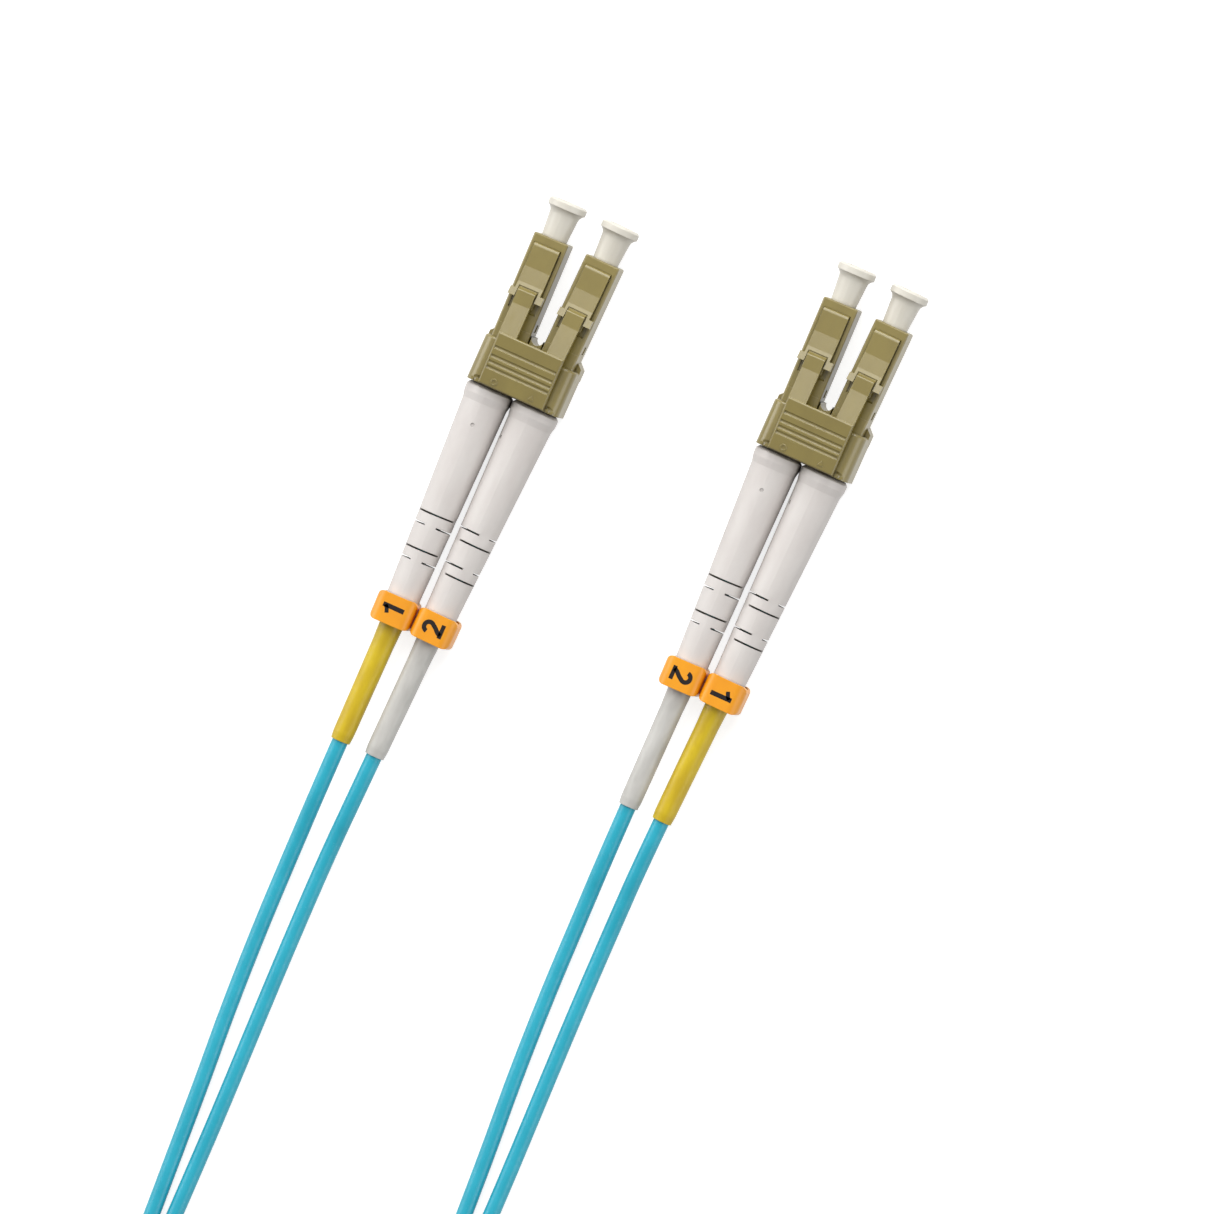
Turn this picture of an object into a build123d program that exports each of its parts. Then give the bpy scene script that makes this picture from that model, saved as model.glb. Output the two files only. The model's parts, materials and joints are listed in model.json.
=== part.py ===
from build123d import *

import os
from math import cos, pi, radians, sin, sqrt, tan

# Duplex fiber patch cord. Two duplex connectors lie side by side on a floor at Z = 0 with
# their ferrules towards +Y and their latches up. The cable runs back along -Y into a coil.
# A "station" is a distance behind a plug's front face, a "height" is measured from a plug's
# axis and a "rise" from the top of its housing. Lengths are in millimetres, angles in degrees.

os.makedirs("parts", exist_ok=True)

# ---------------------------------------------------------------- layout of the two ends
end_spacing = 35.6  # sideways distance between the two connectors
end_stagger = 7.2  # connector B lies this far ahead of connector A
patch_length = 1000.0  # ferrule tip to ferrule tip along the cable

# ---------------------------------------------------------------- plugs and their pitch
plug_pitch = 6.25  # ferrule pitch of a duplex connector, held by the clip
plug_splay = 1.1  # each plug lies turned this far outwards in its clip
running_gap = 0.05  # clearance between pieces that slide or turn
assembly_gap = 0.02  # clearance between pieces that are pushed together

# housing
nose_size = 4.5
housing_length = 11.7
nose_bore = 3.3
nose_bore_depth = 4.0
shoulder_thickness = 0.6
shoulder_clearance = 0.225  # around the ferrule where it passes the shoulder
cavity_bore = 3.2
corner_radius = 0.25

# ferrule, flange and spring
ferrule_diameter = 1.25
ferrule_length = 6.5
ferrule_protrusion = 1.0
ferrule_travel = 1.0
ferrule_lead = 0.15
flange_length = 1.6
flange_clearance = 0.15  # from the flange's corners to the cavity's wall
stem_wall = 0.325
spring_wire = 0.26
spring_turns = 6
fiber_diameter = 0.9

# dust cap
cap_reach = 4.8
cap_insert = 3.4
cap_neck_diameter = 3.66
cap_face_diameter = 3.24
cap_rim_thickness = 0.95
cap_flare = 0.6
cap_flare_length = 0.9
cap_bore_depth = 5.9
cap_dish_depth = 0.5
cap_dish_diameter = 2.6

# latch: stations and rises
latch_width = 3.33
latch_hinge_station = 1.55
latch_hinge_rise = 0.2
latch_root_diameter = 0.9
latch_flat_length = 2.65
latch_slope_length = 2.0
latch_slope_rise = 0.25
beam_thickness = 0.52
ear_setback = 0.9  # from the ramp's start back to the ears
ear_length = 1.0
ear_span = 4.4
ear_rise = 1.6
ear_thickness = 0.85
tail_length = 0.9
tail_thickness = 0.4
relief_depth = 0.25  # of the pocket under the latch
relief_side = 0.1  # beside the latch
relief_lead = 0.4  # behind the latch's tail

# back body and crimp
back_body_length = 7.8
spigot_length = 1.5
snap_length = 0.9
snap_height = 1.3
post_diameter = 2.5
post_length = 3.8
ridge_rise = 0.1
ridge_length = 0.4
ridge_count = 3
crimp_gap = 0.3  # from the back body to the crimp sleeve
crimp_small_length = 2.1
crimp_wall = 0.3
crimp_taper = 0.4

# clip
clip_setback = 2.0  # from the housing's rear to the clip's wings
clip_length = 5.9
sill_reach = 1.4  # forward of the wings, under the plugs
saddle_reach = 1.8
clip_wall = 0.65
clip_roof = 0.75
clip_floor = 0.95
wing_radius = 1.5
clip_edge_radius = 0.5
clip_front_edge = 0.3
clip_joint = 1.0  # depth that the sill and the saddle reach into the clip
sill_chamfer = 0.95
saddle_rise = 2.0
saddle_lap = 0.2  # of the saddle beside each plug
saddle_land = 0.1  # left beside the saddle's round notch
nub_radius = 0.22
nub_height = 0.12
nub_spacing = 0.65
nub_margin = 0.3  # from the plate's side and the clip's rear
cradle_reach = 0.9  # of the hinge cradle ahead of the hinge
pitch_setback = 0.5  # of the point that sets the pitch, behind the clip's middle

# trigger: rises of its arms and plate
arm_width = 2.32
arm_reach = 0.35  # of the arms' tips ahead of the ears
arm_lead = 0.1  # of the arm's path ahead of its tip
arm_ramp_length = 0.45
arm_flat_length = 1.7
arm_rise = 1.17
arm_thickness = 0.75
arm_tip_drop = 0.15  # clearance over the latch's tail
arm_side = 0.14  # clearance between an arm and the ramps beside it
arm_edge = 0.1
arm_root_depth = 0.5  # of an arm's root inside the plate
arm_root_drop = 0.2
plate_lead = 0.9  # of the plate ahead of the wings
plate_front_rise = 2.7
plate_rear_rise = 1.85
plate_front_thickness = 0.95
plate_end_gap = 0.1
plate_clearance = 0.1  # between the plate and the cradle
plate_web = 0.5  # of the plate ahead of the hinge
plate_edge_fillet = 0.22
trigger_hinge_setback = 0.4
trigger_hinge_rise = 1.05
hinge_bead_diameter = 0.84
bead_inset = 0.1
groove_offsets = [1.93, 3.07, 3.84, 4.52]  # behind the plate's front edge
groove_radius = 0.25
groove_depth = 0.15
groove_margin = 0.25
mark_setback = 0.75
mark_offset = 2.5
mark_radius = 0.42
mark_line = 0.16
mark_rise = 0.08

# boot, ring and sleeve
boot_gap = 0.6  # gap that two boots leave between them at the pitch
boot_setback = 0.2
boot_length = 29.9
boot_shoulder = 0.35
collar_length = 1.2
collar_blend = 0.9  # of the collar into the boot
collar_gap = 0.2  # gap that two collars leave at the pitch
tail_run = 3.1  # straight end of a boot
slit_setbacks = [13.2, 11.7, 8.6, 7.2]  # before the boot's rear end
slit_width = 0.22
slit_bridge = 1.45  # width of the two bridges that each pair of slits leaves
gate_setback = 4.9
gate_radius = 0.24
gate_depth = 0.12
boot_rolls = {-1: 0, 1: 60.0}  # how far each side's boot is turned on its cable
ring_setback = 2.3  # ring's front before the boot's rear end
ring_length = 3.7
ring_wall = 0.26
ring_gap = 0.1  # least gap between the two rings of a connector
ring_roof = 0.45
ring_corner = 1.3
ring_end_corner = 0.75
ring_offset = 0.2  # each ring hangs this far outwards on its boot
sleeve_length = 16.8
sleeve_wall = 0.32
sleeve_lap = 2.0  # length of cable leg inside the end of a sleeve
sleeve_flare = [(0, 0.38), (1.3, 0.16), (4.0, 0.06)]  # from its start: length, extra radius
sleeve_taper = [(1.0, -0.02), (0, -0.12)]  # before its end: length, extra radius

# cable
cable_diameter = 2.0
lobe_gap = 0.1  # between the two jackets of the zipcord, bridged by the web
zip_web = 0.9
split_station = 137.5
sleeve_drop = 0.3
leg_lead = 5.5  # straight start of a leg behind its sleeve
cable_bend_radius = 60.0  # inside the sleeve
corner_share = 0.45  # of a run that a rounded corner may take

# where each sleeve ends, sideways from its connector's middle: left plug, right plug
sleeve_ends = {"a": {-1: -2.50, 1: 2.08}, "b": {-1: -2.55, 1: 1.92}}

# cable legs behind the sleeves: (sideways, station, lift off the floor)
left_leg = [
    (-2.62, 80.5, 0.2),
    (-2.47, 91.0, 0),
    (-2.00, 102.0, 0),
    (-1.30, 111.5, 0),
    (-0.80, 120.5, 0),
    (-0.28, 129.3, 0),
]
right_leg = [
    (1.55, 80.0, 0.2),
    (1.62, 91.5, 0),
    (1.88, 103.0, 0),
    (2.14, 113.5, 0),
    (2.24, 122.0, 0),
    (2.29, 130.0, 0),
]
leg_routes = {-1: left_leg, 1: right_leg}
split_middle = 1.2  # sideways place of the point where two legs become one zipcord

# coil of zipcord behind the connectors
coil_turns = 4.5
coil_layers = 2
turn_gap = 0.2
layer_gap = 0.1
coil_setback = 9.2  # from A's split back to the outermost turn
run_lengths = 79.5  # both runs of zipcord between the splits and the coil
tie_width = 9.0
tie_thickness = 0.6

# zipcord between split and coil: (sideways, back from the split, lift off the floor)
zip_routes = {
    "a": [(0.05, 7.3, 0), (-2.20, 14.3, 0.1), (-6.50, 20.2, 0.6), (-8.80, 27.2, 1.4)],
    "b": [(0.10, 8.5, 0), (1.70, 16.8, 0.1), (4.75, 24.8, 1.9), (6.40, 33.1, 4.7)],
}

# ---------------------------------------------------------------- values worked out
nose_half = nose_size / 2
axis_height = nose_half + clip_floor

# stations along a plug
cavity_front = nose_bore_depth + shoulder_thickness
spring_front = cavity_front + flange_length
spring_rear = housing_length - spigot_length
spring_length = spring_rear - spring_front
stem_length = spring_length / 2
ferrule_seat = ferrule_length - ferrule_protrusion
snap_station = spring_rear + spigot_length / 2
back_body_rear = housing_length + back_body_length
post_rear = back_body_rear + post_length
crimp_front = back_body_rear + crimp_gap
crimp_step = post_rear + 2 * crimp_gap
crimp_rear = crimp_step + crimp_small_length
fiber_rear = crimp_step + crimp_small_length / 2
boot_front = back_body_rear + boot_setback
boot_rear = boot_front + boot_length
boot_seat = crimp_rear + boot_setback
ring_front = boot_rear - ring_setback
ring_rear = ring_front + ring_length
sleeve_rear = boot_rear + sleeve_length

# diameters along a plug
shoulder_hole = ferrule_diameter + 2 * shoulder_clearance
flange_corner_diameter = cavity_bore - 2 * flange_clearance
stem_diameter = ferrule_diameter + 2 * stem_wall
jacket_bore = cable_diameter / 2 + assembly_gap
crimp_bore = post_diameter / 2 + ridge_rise + running_gap
crimp_outside = crimp_bore + crimp_wall
boot_root_diameter = plug_pitch - boot_gap
collar_diameter = plug_pitch - collar_gap

# latch
latch_hinge_height = nose_half + latch_hinge_rise
relief_floor = nose_half - relief_depth
latch_flat_end = latch_hinge_station + latch_flat_length
latch_ramp_start = latch_flat_end + latch_slope_length
ear_front = latch_ramp_start + ear_setback
ear_rear = ear_front + ear_length
ear_top = nose_half + ear_rise
tail_rear = ear_rear + tail_length
arm_path = arm_width / 2 + arm_side

# clip
clip_front = housing_length + clip_setback
clip_rear = clip_front + clip_length
clip_top = nose_half + clip_roof
sill_front = clip_front - sill_reach
saddle_front = clip_front - saddle_reach
clip_middle = (sill_front + clip_rear) / 2 + pitch_setback
plug_lean = tan(radians(plug_splay))
plug_float = (clip_middle - sill_front) * plug_lean + assembly_gap
clip_bore = nose_size + 2 * plug_float
clip_width = plug_pitch + clip_bore + 2 * clip_wall
cradle_base = (clip_top + clip_bore / 2) / 2
saddle_width = plug_pitch - nose_size

# trigger
arm_tip = ear_front - arm_reach
arm_underside = nose_half + arm_rise
arm_flat_start = arm_tip + arm_ramp_length
arm_flat_end = arm_flat_start + arm_flat_length
plate_front = clip_front - plate_lead
plate_rear = clip_rear - plate_end_gap
plate_length = plate_rear - plate_front
plate_width = plug_pitch + arm_width + 2 * (clip_middle - plate_front) * plug_lean
plate_front_top = nose_half + plate_front_rise
plate_rear_top = nose_half + plate_rear_rise
trigger_hinge_station = plate_rear - trigger_hinge_setback
trigger_hinge_height = nose_half + trigger_hinge_rise

# rings and boots
ring_half_spacing = plug_pitch / 2 - (ring_rear - clip_middle) * plug_lean
boot_tail_diameter = 2 * (ring_half_spacing - ring_gap / 2 - ring_wall - running_gap)

# cable
zip_pitch = cable_diameter + lobe_gap
turn_pitch = cable_diameter + turn_gap
layer_height = zip_pitch + cable_diameter + layer_gap

# place of each connector: the footprint's middle, without the cable, is the origin
front_to_middle = (end_stagger + cap_reach - sleeve_rear) / 2
front_y = {"a": -front_to_middle, "b": -front_to_middle + end_stagger}
middle_x = {"a": -end_spacing / 2, "b": end_spacing / 2}


def keep(piece, node):
    """Label a finished piece and write it to its own file."""
    piece.part.label = node
    export_step(piece.part, f"parts/{node}.step")


def connector_plane(end):
    """Front-face plane of a connector: x right, y up, z back along the plugs."""
    return Plane(origin=(middle_x[end], front_y[end], axis_height), x_dir=(1, 0, 0), z_dir=(0, -1, 0))


def plug_plane(end, side):
    """Front-face plane of one plug, turned outwards by the splay. side is -1 left, 1 right."""
    sideways = side * (plug_pitch / 2 + clip_middle * plug_lean)
    lean_x = side * sin(radians(plug_splay))
    lean_y = cos(radians(plug_splay))
    origin = (middle_x[end] + sideways, front_y[end], axis_height)
    return Plane(origin=origin, x_dir=(lean_y, -lean_x, 0), z_dir=(-lean_x, -lean_y, 0))


def side_plane(front):
    """Plane through an axis: x is the station and y the height."""
    return Plane(origin=front.origin, x_dir=front.z_dir, z_dir=-front.x_dir)


def turned(front, angle):
    """The same plane, turned about its own normal."""
    across = front.x_dir * cos(radians(angle)) + front.y_dir * sin(radians(angle))
    return Plane(origin=front.origin, x_dir=across, z_dir=front.z_dir)


def on_axis(plug, station):
    """Point on a plug's axis."""
    return plug.origin + plug.z_dir * station


# ---------------------------------------------------------------- one plug
def make_housing(tag, plug):
    side = side_plane(plug)
    with BuildPart() as housing:
        with BuildSketch(plug):
            RectangleRounded(nose_size, nose_size, corner_radius)
        extrude(amount=housing_length)
        chamfer(housing.faces().sort_by(Axis(plug.origin, plug.z_dir))[0].edges(), corner_radius / 2)
        with BuildSketch(plug):
            Circle(nose_bore / 2)
        extrude(amount=nose_bore_depth, mode=Mode.SUBTRACT)
        with BuildSketch(plug):
            Circle(shoulder_hole / 2)
        extrude(amount=cavity_front, mode=Mode.SUBTRACT)
        with BuildSketch(plug.offset(cavity_front)):
            Circle(cavity_bore / 2)
        extrude(amount=housing_length, mode=Mode.SUBTRACT)
        # relief pocket that the latch dips into
        with BuildSketch(side):
            with BuildLine():
                Polyline(
                    (latch_hinge_station, relief_floor),
                    (tail_rear + relief_lead, relief_floor),
                    (tail_rear + 2 * relief_lead, nose_half + corner_radius),
                    (latch_hinge_station, nose_half + corner_radius),
                    close=True,
                )
            make_face()
        extrude(amount=latch_width / 2 + relief_side, both=True, mode=Mode.SUBTRACT)
        # seat of the latch's root
        with BuildSketch(side):
            with Locations((latch_hinge_station, latch_hinge_height)):
                Circle(latch_root_diameter / 2 + running_gap)
        extrude(amount=latch_width / 2 + relief_side, both=True, mode=Mode.SUBTRACT)
        # windows for the back body's snap tabs
        with BuildSketch(side):
            with Locations((snap_station, 0)):
                Rectangle(snap_length + 2 * running_gap, snap_height + 2 * running_gap)
        extrude(amount=nose_size, both=True, mode=Mode.SUBTRACT)
    keep(housing, f"{tag}_housing")


def make_latch(tag, plug):
    side = side_plane(plug)
    flat_top = latch_hinge_height + latch_root_diameter / 2
    slope_top = flat_top + latch_slope_rise
    slope_base = slope_top - beam_thickness
    tail_top = arm_underside - arm_tip_drop
    ear_base = ear_top - ear_thickness
    with BuildPart() as latch:
        with BuildSketch(side):
            with Locations((latch_hinge_station, latch_hinge_height)):
                Circle(latch_root_diameter / 2)
        extrude(amount=latch_width / 2, both=True)
        # beam from the root to the ramp
        with BuildSketch(side):
            with BuildLine():
                Polyline(
                    (latch_hinge_station, flat_top),
                    (latch_flat_end, flat_top),
                    (latch_ramp_start, slope_top),
                    (ear_front, slope_top),
                    (ear_front, slope_base),
                    (latch_ramp_start, slope_base),
                    (latch_flat_end, flat_top - beam_thickness),
                    (latch_hinge_station, flat_top - beam_thickness),
                    close=True,
                )
            make_face()
        extrude(amount=latch_width / 2, both=True)
        # tail that the trigger's arm presses
        with BuildSketch(side):
            with BuildLine():
                Polyline(
                    (latch_ramp_start, slope_top),
                    (ear_front, tail_top),
                    (tail_rear, tail_top),
                    (tail_rear, tail_top - tail_thickness),
                    (ear_rear, tail_top - beam_thickness),
                    (latch_ramp_start, slope_base),
                    close=True,
                )
            make_face()
        extrude(amount=arm_path, both=True)
        # ramps beside the tail, which widen into the two ears
        with BuildSketch(side):
            with BuildLine():
                Polyline(
                    (latch_ramp_start, slope_top),
                    (ear_rear, ear_top),
                    (ear_rear, ear_base),
                    (latch_ramp_start, slope_base),
                    close=True,
                )
            make_face()
        extrude(amount=latch_width / 2, both=True)
        ear_share = ear_setback / (ear_setback + ear_length)
        with BuildSketch(side):
            with BuildLine():
                Polyline(
                    (ear_front, slope_top + ear_share * (ear_top - slope_top)),
                    (ear_rear, ear_top),
                    (ear_rear, ear_base),
                    (ear_front, slope_base + ear_share * (ear_base - slope_base)),
                    close=True,
                )
            make_face()
        extrude(amount=ear_span / 2, both=True)
        # the arm's path between the ramps
        with BuildSketch(side):
            with BuildLine():
                Polyline(
                    (arm_tip - arm_lead, tail_top),
                    (tail_rear, tail_top),
                    (tail_rear, 2 * ear_top),
                    (arm_tip - arm_lead, 2 * ear_top),
                    close=True,
                )
            make_face()
        extrude(amount=arm_path, both=True, mode=Mode.SUBTRACT)
    keep(latch, f"{tag}_latch")


def make_dust_cap(tag, plug):
    neck = cap_neck_diameter / 2
    rim_back = -cap_reach + cap_rim_thickness
    flare_end = rim_back + cap_flare_length
    flare_radius = (cap_flare**2 + cap_flare_length**2) / (2 * cap_flare)
    flare_middle = neck + flare_radius - sqrt(flare_radius**2 - cap_flare_length**2 / 4)
    stub = nose_bore / 2 - running_gap
    bore = ferrule_diameter / 2 + assembly_gap
    bore_end = cap_insert - cap_bore_depth
    dish = cap_dish_diameter / 2
    corner = cap_rim_thickness / 4
    with BuildPart() as dust_cap:
        with BuildSketch(side_plane(plug)):
            with BuildLine():
                Polyline(
                    (-cap_reach + cap_dish_depth, 0),
                    (-cap_reach + cap_dish_depth, dish),
                    (-cap_reach, dish + corner),
                    (-cap_reach, neck + cap_flare - corner),
                    (-cap_reach + corner, neck + cap_flare),
                    (rim_back, neck + cap_flare),
                )
                ThreePointArc(
                    (rim_back, neck + cap_flare),
                    (rim_back + cap_flare_length / 2, flare_middle),
                    (flare_end, neck),
                )
                Polyline(
                    (flare_end, neck),
                    (0, cap_face_diameter / 2),
                    (0, stub),
                    (cap_insert - corner, stub),
                    (cap_insert, stub - corner),
                    (cap_insert, bore + corner),
                    (cap_insert - corner, bore),
                    (bore_end, bore),
                    (bore_end - bore / 2, 0),
                    (-cap_reach + cap_dish_depth, 0),
                )
            make_face()
        revolve(axis=Axis(plug.origin, plug.z_dir))
    keep(dust_cap, f"{tag}_dust_cap")


def make_ferrule(tag, plug):
    with BuildPart() as ferrule:
        with BuildSketch(plug.offset(-ferrule_protrusion)):
            Circle(ferrule_diameter / 2)
        extrude(amount=ferrule_length)
        tip = ferrule.faces().sort_by(Axis(plug.origin, plug.z_dir))[0]
        chamfer(tip.edges(), ferrule_lead)
    keep(ferrule, f"{tag}_ferrule")


def make_flange(tag, plug):
    with BuildPart() as flange:
        with BuildSketch(plug.offset(cavity_front + assembly_gap)):
            RegularPolygon(flange_corner_diameter / 2, 6)
        extrude(amount=flange_length - assembly_gap)
        with BuildSketch(plug.offset(spring_front)):
            Circle(stem_diameter / 2)
        extrude(amount=stem_length)
        with BuildSketch(plug.offset(cavity_front)):
            Circle(ferrule_diameter / 2 + assembly_gap / 2)
        extrude(amount=ferrule_seat - cavity_front, mode=Mode.SUBTRACT)
        with BuildSketch(plug.offset(ferrule_seat)):
            Circle(fiber_diameter / 2 + assembly_gap)
        extrude(amount=spring_rear, mode=Mode.SUBTRACT)
    keep(flange, f"{tag}_ferrule_flange")


def make_fiber(tag, plug):
    with BuildPart() as fiber:
        with BuildSketch(plug.offset(ferrule_seat)):
            Circle(fiber_diameter / 2)
        extrude(amount=fiber_rear - ferrule_seat)
    keep(fiber, f"{tag}_fiber")


def make_spring(tag, plug):
    radius = stem_diameter / 2 + spring_wire / 2 + 2 * running_gap
    height = spring_length - spring_wire - 2 * assembly_gap
    start = on_axis(plug, spring_front + spring_wire / 2 + assembly_gap)
    with BuildPart() as spring:
        with BuildLine():
            coil = Helix(height / spring_turns, height, radius, center=start, direction=plug.z_dir)
        with BuildSketch(Plane(origin=coil @ 0, z_dir=coil % 0)):
            Circle(spring_wire / 2)
        sweep(path=coil, is_frenet=True)
    keep(spring, f"{tag}_spring")


def make_back_body(tag, plug):
    side = side_plane(plug)
    with BuildPart() as back_body:
        with BuildSketch(plug.offset(housing_length)):
            RectangleRounded(nose_size, nose_size, corner_radius)
        extrude(amount=back_body_rear - housing_length)
        with BuildSketch(plug.offset(spring_rear)):
            Circle(cavity_bore / 2 - assembly_gap)
        extrude(amount=spigot_length + housing_length - spring_rear)
        with BuildSketch(side):
            with Locations((snap_station, 0)):
                Rectangle(snap_length, snap_height)
        extrude(amount=nose_half - 2 * running_gap, both=True)
        with BuildSketch(plug.offset(back_body_rear)):
            Circle(post_diameter / 2)
        extrude(amount=post_rear - back_body_rear)
        for ridge in range(1, ridge_count + 1):
            with BuildSketch(plug.offset(post_rear - ridge * post_length / (ridge_count + 1))):
                Circle(post_diameter / 2 + ridge_rise)
            extrude(amount=ridge_length)
        with BuildSketch(plug.offset(spring_rear)):
            Circle(fiber_diameter / 2 + 2 * running_gap)
        extrude(amount=post_rear, mode=Mode.SUBTRACT)
    keep(back_body, f"{tag}_back_body")


def make_cable_end(tag, plug, exit_point):
    """The end of a leg's jacket, from the crimp to just short of the sleeve's end."""
    bend = on_axis(plug, boot_rear)
    last = bend + (exit_point - bend) * (1 - sleeve_lap / (exit_point - bend).length)
    start = on_axis(plug, crimp_step + crimp_taper)
    with BuildPart() as cable_end:
        with BuildLine():
            line = FilletPolyline(start, bend, last, radius=cable_bend_radius)
        with BuildSketch(Plane(origin=start, z_dir=plug.z_dir)):
            Circle(cable_diameter / 2)
        sweep(path=line)
        with BuildSketch(plug.offset(crimp_step)):
            Circle(fiber_diameter / 2 + running_gap)
        extrude(amount=fiber_rear + 2 * ferrule_travel - crimp_step, mode=Mode.SUBTRACT)
    keep(cable_end, f"{tag}_cable_end")


def make_boot(tag, plug, roll):
    collar = collar_diameter / 2
    collar_end = boot_front + collar_length + collar_blend
    root = boot_root_diameter / 2
    tail = boot_tail_diameter / 2
    crimp_space = crimp_outside + running_gap
    jacket_space = jacket_bore + assembly_gap
    with BuildPart() as boot:
        with BuildSketch(side_plane(plug)):
            with BuildLine():
                Polyline(
                    (boot_front, crimp_space),
                    (boot_front, collar - boot_shoulder),
                    (boot_front + boot_shoulder, collar),
                    (boot_front + collar_length, collar),
                    (collar_end, root),
                    (boot_rear - tail_run, tail),
                    (boot_rear, tail),
                    (boot_rear, jacket_space),
                    (boot_seat + crimp_space - jacket_space, jacket_space),
                    (boot_seat, crimp_space),
                    close=True,
                )
            make_face()
        revolve(axis=Axis(plug.origin, plug.z_dir))
        for index, setback in enumerate(slit_setbacks):
            across = turned(plug.offset(boot_rear - setback), roll + 90 * (index % 2))
            with BuildSketch(across):
                for way in (-1, 1):
                    with Locations((0, way * (slit_bridge / 2 + root / 2))):
                        Rectangle(2 * root, root)
            extrude(amount=slit_width, mode=Mode.SUBTRACT)
        # shallow mark of the moulding gate
        taper = (root - tail) / (boot_rear - tail_run - collar_end)
        gate_height = root - taper * (boot_front + gate_setback - collar_end)
        gate_side = turned(plug.offset(boot_front + gate_setback), roll)
        gate_spot = gate_side.origin + gate_side.y_dir * (gate_height + gate_depth)
        with BuildSketch(Plane(origin=gate_spot, x_dir=gate_side.x_dir, z_dir=gate_side.y_dir)):
            Circle(gate_radius)
        extrude(amount=-2 * gate_depth, mode=Mode.SUBTRACT)
    keep(boot, f"{tag}_boot")


def make_sleeve(tag, plug, exit_point):
    """Heat-shrink sleeve, on a line from the boot's end to the cable's exit."""
    start = on_axis(plug, boot_rear + running_gap)
    back = exit_point - start
    length = back.length
    axis_plane = Plane(origin=start, x_dir=back, z_dir=back.cross(Vector(0, 0, 1)) * -1)
    thick = jacket_bore + sleeve_wall
    with BuildPart() as sleeve:
        with BuildSketch(axis_plane):
            with BuildLine():
                Polyline(
                    (0, jacket_bore),
                    *[(place, thick + extra) for place, extra in sleeve_flare],
                    *[(length - place, thick + extra) for place, extra in sleeve_taper],
                    (length, jacket_bore),
                    close=True,
                )
            make_face()
        revolve(axis=Axis(start, back))
    keep(sleeve, f"{tag}_shrink_sleeve")


def make_crimp_sleeves(plugs):
    with BuildPart() as crimp_sleeves:
        for plug in plugs:
            with BuildSketch(side_plane(plug)):
                with BuildLine():
                    Polyline(
                        (crimp_front, crimp_bore),
                        (crimp_front, crimp_outside),
                        (crimp_step, crimp_outside),
                        (crimp_step + crimp_taper, jacket_bore + crimp_wall),
                        (crimp_rear, jacket_bore + crimp_wall),
                        (crimp_rear, jacket_bore),
                        (crimp_step + crimp_taper, jacket_bore),
                        (crimp_step, crimp_bore),
                        close=True,
                    )
                make_face()
            revolve(axis=Axis(plug.origin, plug.z_dir))
    keep(crimp_sleeves, "crimp_sleeves")


def make_marker_rings(end, plugs):
    """Two loose marker rings, each a rounded block around the end of a boot."""
    inside_width = boot_tail_diameter + 2 * (ring_offset + running_gap)
    inside_height = boot_tail_diameter + 2 * running_gap
    ring_width = inside_width + 2 * ring_wall
    ring_height = inside_height + 2 * ring_roof
    with BuildPart() as marker_rings:
        for side, plug in plugs.items():
            with BuildSketch(plug.offset(ring_front)):
                with Locations((side * ring_offset, 0)):
                    RectangleRounded(ring_width, ring_height, ring_corner)
                    SlotOverall(inside_width, inside_height, mode=Mode.SUBTRACT)
            extrude(amount=ring_length)
            middle = on_axis(plug, ring_front + ring_length / 2)
            with BuildSketch(Plane(origin=middle, x_dir=plug.x_dir, z_dir=plug.y_dir)):
                with Locations((side * ring_offset, 0)):
                    Rectangle(ring_width + ring_gap / 2, ring_length + ring_gap)
                    RectangleRounded(ring_width, ring_length, ring_end_corner, mode=Mode.SUBTRACT)
            extrude(amount=ring_height, both=True, mode=Mode.SUBTRACT)
    keep(marker_rings, f"{end}_marker_rings")


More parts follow.
